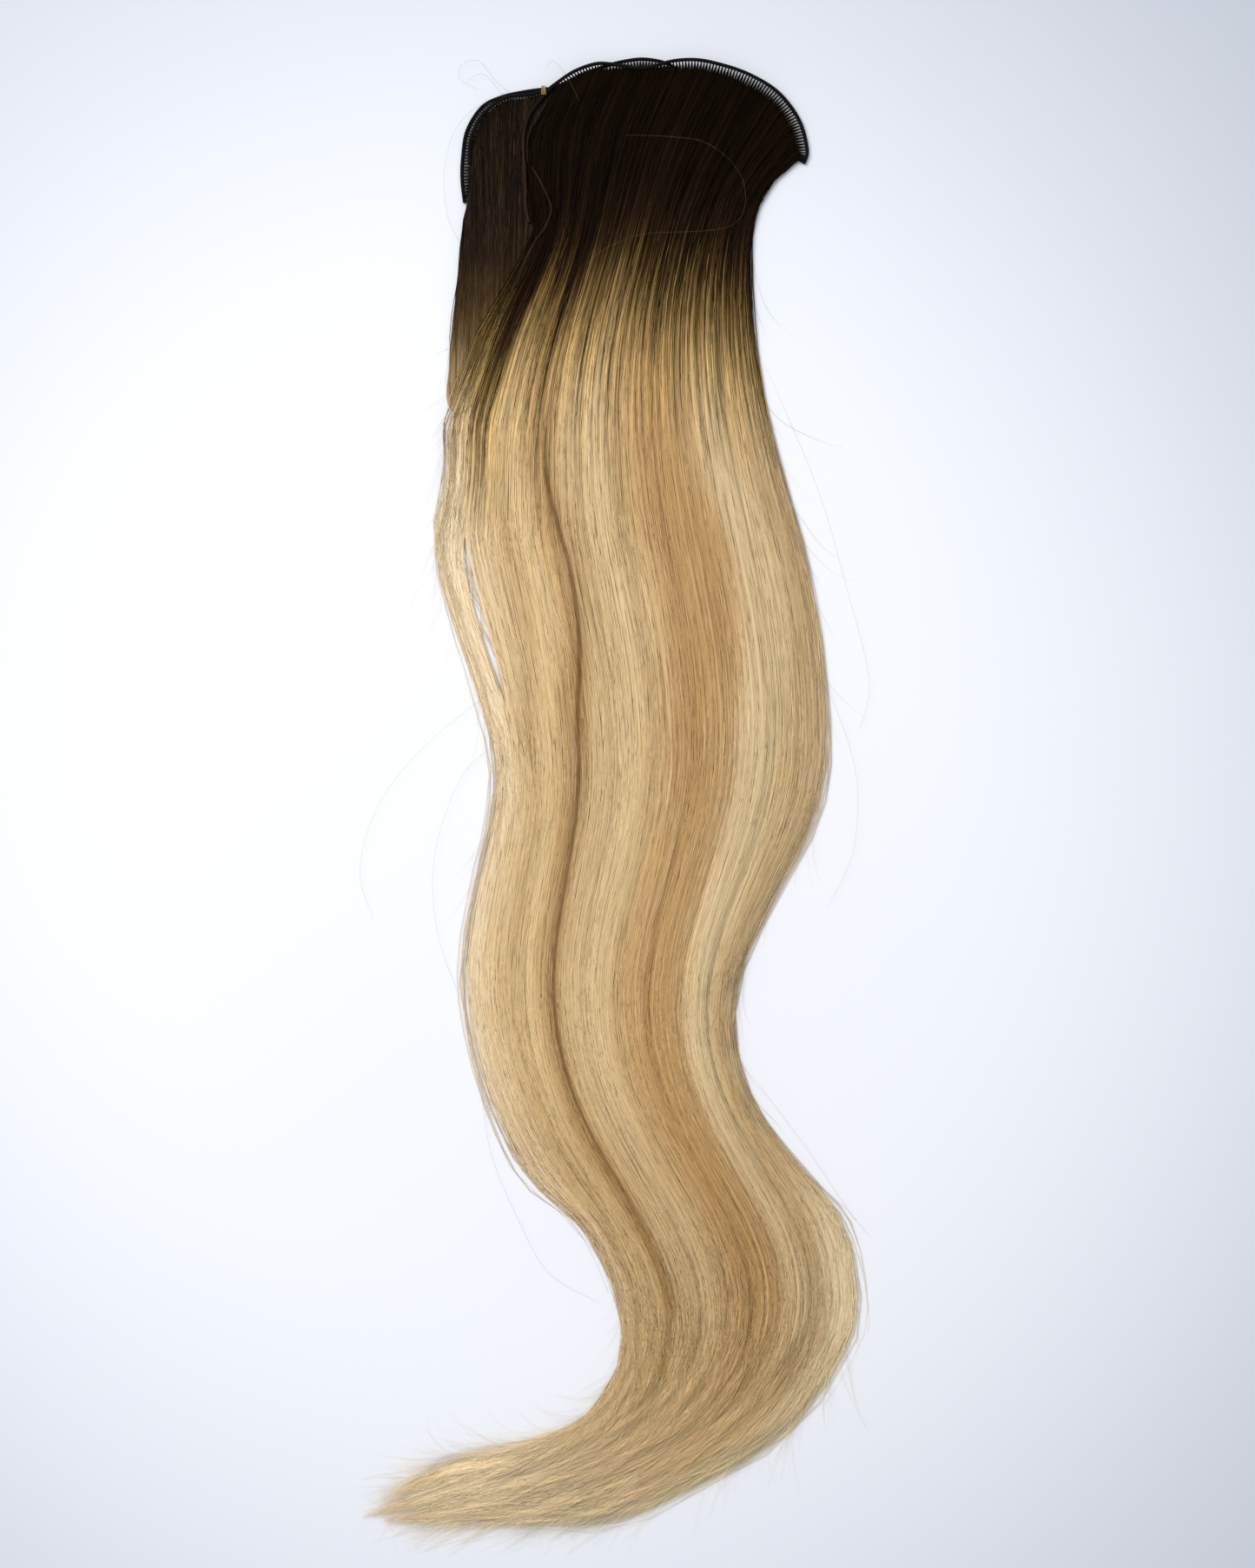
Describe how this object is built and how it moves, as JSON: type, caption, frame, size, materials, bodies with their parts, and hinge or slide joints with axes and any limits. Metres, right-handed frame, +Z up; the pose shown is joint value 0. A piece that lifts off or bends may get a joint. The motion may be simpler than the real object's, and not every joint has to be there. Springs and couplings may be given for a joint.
{
  "type": "hair weft",
  "caption": "Folded weft of long wavy hair laid flat, dark at the sewn scalloped edge and blond to the tip, to sew or clip into a wig or cap.",
  "frame": {"origin": "middle of the bounding box seen from above, at the height of the surface that the weft lies on", "axes": "+X is right and +Y is towards the sewn edge as seen from above, +Z is up away from the surface"},
  "size_m": [0.1746, 0.5226, 0.0118],
  "materials": {
    "black_thread": "matte sewn cord",
    "brown_thread": "matte knotted thread",
    "gold_thread": "soft sheen thread",
    "shadow_hair": "glossy dark brown hair",
    "blond_hair": "glossy wavy hair, dark brown at the roots and streaked blond below"
  },
  "bodies": {
    "root": {"back_band": "black_thread", "middle_band": "black_thread", "front_band": "black_thread", "hair_back": "shadow_hair", "hair_middle": "shadow_hair", "hair_front": "blond_hair", "fold_seam": "brown_thread", "thread_tab": "gold_thread"}
  },
  "joints": []
}
